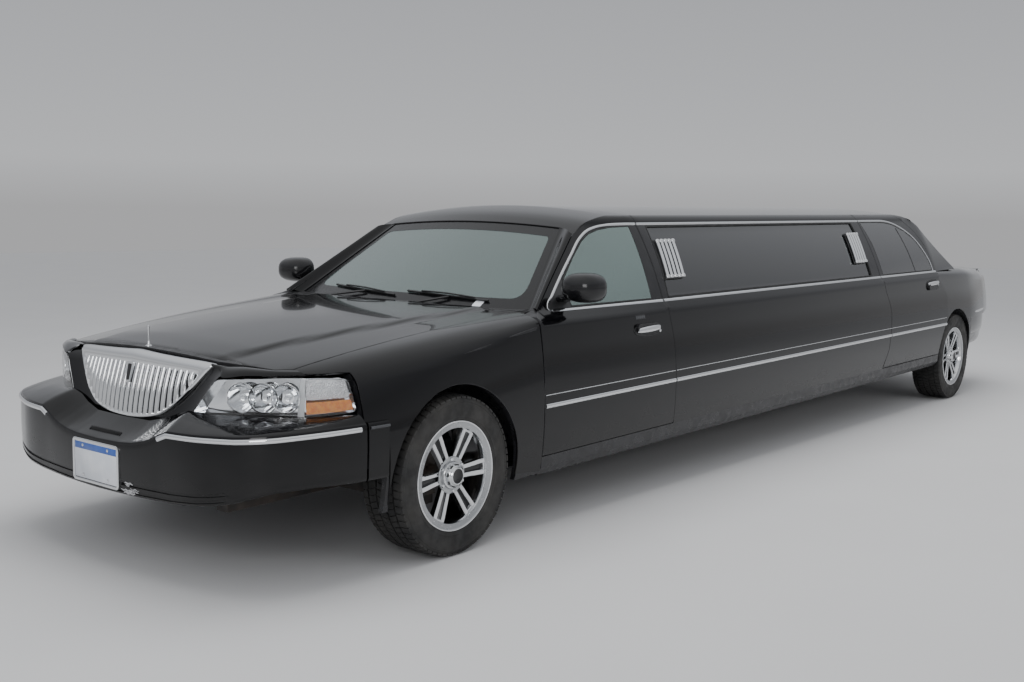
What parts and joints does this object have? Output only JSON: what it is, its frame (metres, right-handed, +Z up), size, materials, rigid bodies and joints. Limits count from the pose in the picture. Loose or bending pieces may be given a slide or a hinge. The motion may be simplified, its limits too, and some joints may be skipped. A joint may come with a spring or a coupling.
{
  "type": "stretch limousine",
  "caption": "Long-wheelbase limousine with stretched cabin: hinged doors, hood and trunk lid, steered front wheels, waterfall grille and dark windows.",
  "frame": {"origin": "on the floor under the middle of the car's length and width", "axes": "+X towards the car's rear, +Y towards the car's right, +Z up"},
  "size_m": [8.519, 2.23, 1.5264],
  "materials": {
    "paint": "gloss",
    "chrome": "polished",
    "screen": "gloss",
    "dark_glass": "gloss",
    "lamp_glass": "gloss",
    "red_lens": "gloss",
    "black_plastic": "satin",
    "plate": "satin",
    "frame_steel": "matte",
    "exhaust_steel": "satin",
    "cast": "matte",
    "tyre": "matte",
    "floor": "matte",
    "dash": "satin",
    "leather": "satin",
    "cabinet": "gloss"
  },
  "bodies": {
    "car": {"backlight": "dark_glass", "bar_cabinet": "cabinet", "chassis_frame": "frame_steel", "coach_lamps": "chrome", "cowl": "black_plastic", "dashboard": "dash", "engine": "cast", "exhaust": "exhaust_steel", "floor_pan": "floor", "front_bumper": "paint", "front_fenders": "paint", "front_seats": "leather", "front_suspension": "frame_steel", "fuel_tank": "black_plastic", "grille": "chrome", "headlamps": "lamp_glass", "lounge_seats": "leather", "number_plate": "plate", "partition": "dash", "quarter_panels": "paint", "radiator_panel": "black_plastic", "rear_axle": "cast", "rear_bumper": "paint", "rear_panel": "paint", "roof": "paint", "steering_wheel": "dash", "stretch_sides": "paint", "stretch_windows": "dark_glass", "taillamps": "red_lens", "windshield": "screen"},
    "hood": {"hood": "paint"},
    "decklid": {"decklid": "paint"},
    "front_door_left": {"door_front_left": "paint", "glass_front_left": "screen", "mirror_left": "black_plastic"},
    "rear_door_left": {"door_rear_left": "paint", "glass_rear_left": "dark_glass"},
    "steering_left": {"knuckle_left": "cast"},
    "front_wheel_left": {"tyre_front_left": "tyre", "rim_front_left": "chrome"},
    "rear_wheel_left": {"tyre_rear_left": "tyre", "rim_rear_left": "chrome"},
    "front_door_right": {"door_front_right": "paint", "glass_front_right": "screen", "mirror_right": "black_plastic"},
    "rear_door_right": {"door_rear_right": "paint", "glass_rear_right": "dark_glass"},
    "steering_right": {"knuckle_right": "cast"},
    "front_wheel_right": {"tyre_front_right": "tyre", "rim_front_right": "chrome"},
    "rear_wheel_right": {"tyre_rear_right": "tyre", "rim_rear_right": "chrome"}
  },
  "joints": [
    {"name": "steer_left", "type": "hinge", "parent": "car", "child": "steering_left", "pos_m": [-3.1745, -0.79, 0.343], "axis": [0, 0, 1], "range_deg": [-32, 32]},
    {"name": "front_wheel_spin_left", "type": "hinge", "parent": "steering_left", "child": "front_wheel_left", "pos_m": [-3.1745, -0.866, 0.343], "axis": [0, 1, 0], "continuous": true},
    {"name": "rear_wheel_spin_left", "type": "hinge", "parent": "car", "child": "rear_wheel_left", "pos_m": [2.8635, -0.866, 0.343], "axis": [0, 1, 0], "continuous": true},
    {"name": "front_door_swing_left", "type": "hinge", "parent": "car", "child": "front_door_left", "pos_m": [-2.607, -0.9925, 0.62], "axis": [0, 0, -1], "range_deg": [0, 68]},
    {"name": "rear_door_swing_left", "type": "hinge", "parent": "car", "child": "rear_door_left", "pos_m": [1.3775, -0.978, 0.4], "axis": [0, 0, -1], "range_deg": [0, 68]},
    {"name": "steer_right", "type": "hinge", "parent": "car", "child": "steering_right", "pos_m": [-3.1745, 0.79, 0.343], "axis": [0, 0, 1], "range_deg": [-32, 32]},
    {"name": "front_wheel_spin_right", "type": "hinge", "parent": "steering_right", "child": "front_wheel_right", "pos_m": [-3.1745, 0.866, 0.343], "axis": [0, 1, 0], "continuous": true},
    {"name": "rear_wheel_spin_right", "type": "hinge", "parent": "car", "child": "rear_wheel_right", "pos_m": [2.8635, 0.866, 0.343], "axis": [0, 1, 0], "continuous": true},
    {"name": "front_door_swing_right", "type": "hinge", "parent": "car", "child": "front_door_right", "pos_m": [-2.607, 0.9925, 0.62], "axis": [0, 0, 1], "range_deg": [0, 68]},
    {"name": "rear_door_swing_right", "type": "hinge", "parent": "car", "child": "rear_door_right", "pos_m": [1.3775, 0.978, 0.4], "axis": [0, 0, 1], "range_deg": [0, 68]},
    {"name": "hood_lift", "type": "hinge", "parent": "car", "child": "hood", "pos_m": [-2.572, 0, 0.9851], "axis": [0, 1, 0], "range_deg": [0, 55]},
    {"name": "decklid_lift", "type": "hinge", "parent": "car", "child": "decklid", "pos_m": [3.161, 0, 1.0695], "axis": [0, -1, 0], "range_deg": [0, 75]}
  ],
  "couplings": [
    {"joint": "steer_right", "follows": "steer_left", "ratio": 1}
  ]
}
